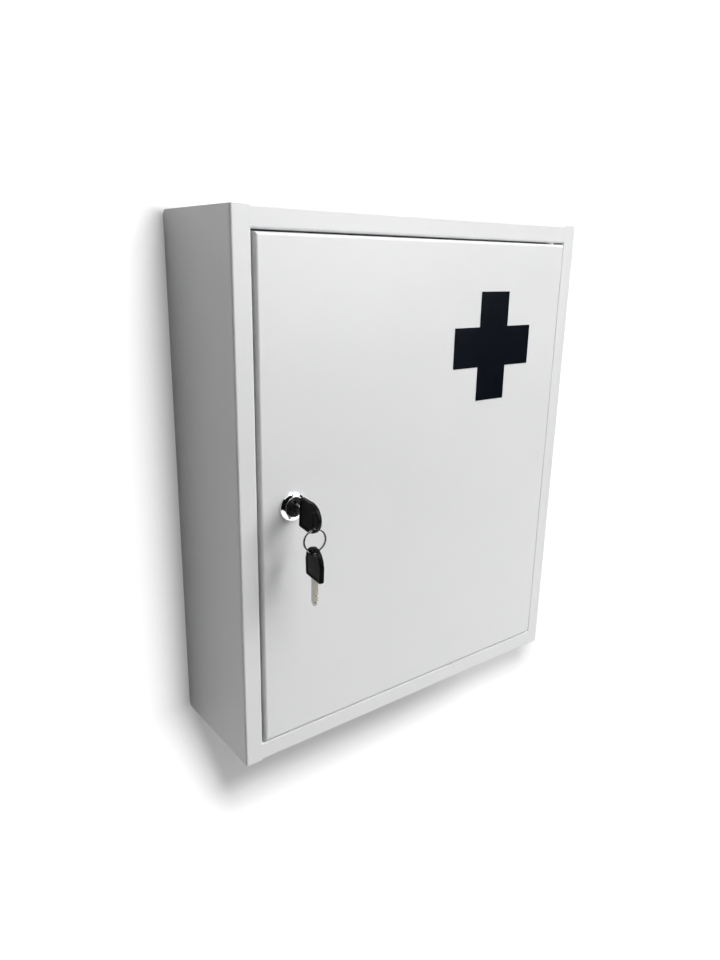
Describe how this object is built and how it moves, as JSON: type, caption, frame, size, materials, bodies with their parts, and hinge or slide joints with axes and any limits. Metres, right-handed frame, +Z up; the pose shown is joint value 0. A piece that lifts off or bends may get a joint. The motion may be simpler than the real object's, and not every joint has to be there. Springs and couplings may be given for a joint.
{
  "type": "lockable medicine cabinet",
  "caption": "Wall-hung steel medicine cabinet with an inset door on pivot pins, fixed shelves, a quarter-turn cam lock and keys on a split ring.",
  "frame": {"origin": "midway between the four wall holes, on the back face that lies against the wall", "axes": "+Z up, -Y out of the wall towards the user, +X to the right as seen from the front"},
  "size_m": [0.3, 0.126, 0.36],
  "materials": {
    "white_paint": "semi-gloss white powder coat",
    "zinc_steel": "zinc plated",
    "buffer_rubber": "matte black",
    "dark_film": "cut vinyl film, near black",
    "bush_nylon": "natural nylon",
    "lock_chrome": "bright chrome on zinc casting",
    "plug_dark": "dark nickel",
    "wafer_brass": "stamped brass",
    "key_nickel": "satin nickel plate",
    "bow_plastic": "black moulded plastic, fine texture",
    "ring_steel": "bright nickel plated spring wire"
  },
  "bodies": {
    "cabinet": {"case_wrapper": "white_paint", "side_left": "white_paint", "side_right": "white_paint", "shelf_upper": "white_paint", "shelf_lower": "white_paint", "hinge_plate_upper": "zinc_steel", "hinge_plate_lower": "zinc_steel", "hinge_pin_upper": "zinc_steel", "hinge_pin_lower": "zinc_steel", "door_stop_upper": "white_paint", "door_stop_lower": "white_paint", "buffer_upper": "buffer_rubber", "buffer_lower": "buffer_rubber"},
    "door": {"door_pan": "white_paint", "door_cross": "dark_film", "hinge_bush_upper": "bush_nylon", "hinge_bush_lower": "bush_nylon", "lock_body": "lock_chrome", "lock_tooth_washer": "zinc_steel", "lock_nut": "zinc_steel"},
    "plug": {"lock_plug": "plug_dark", "lock_wafers": "wafer_brass", "turn_limit_disc": "zinc_steel", "lock_cam": "zinc_steel", "cam_washer": "zinc_steel", "cam_screw": "zinc_steel"},
    "key": {"key_blade": "key_nickel", "key_bow": "bow_plastic"},
    "ring": {"key_ring": "ring_steel"},
    "spare_key": {"spare_key_blade": "key_nickel", "spare_key_bow": "bow_plastic"}
  },
  "joints": [
    {"name": "door_hinge", "type": "hinge", "parent": "cabinet", "child": "door", "pos_m": [0.1248, -0.08525, 0], "axis": [0, 0, 1], "range_deg": [0, 120]},
    {"name": "lock_turn", "type": "hinge", "parent": "door", "child": "plug", "pos_m": [-0.112, -0.0915, 0], "axis": [0, 1, 0], "range_deg": [0, 90]},
    {"name": "key_slide", "type": "slide", "parent": "plug", "child": "key", "axis": [0, -1, 0], "range_m": [0, 0.015]},
    {"name": "ring_swing", "type": "hinge", "parent": "key", "child": "ring", "pos_m": [-0.112, -0.11606, -0.00837], "axis": [-0.9925, 0.1219, 0], "range_deg": [-15, 60]},
    {"name": "spare_key_swing", "type": "hinge", "parent": "ring", "child": "spare_key", "pos_m": [-0.112, -0.11606, -0.02317], "axis": [-0.9925, 0.1219, 0], "range_deg": [-10, 45]}
  ]
}
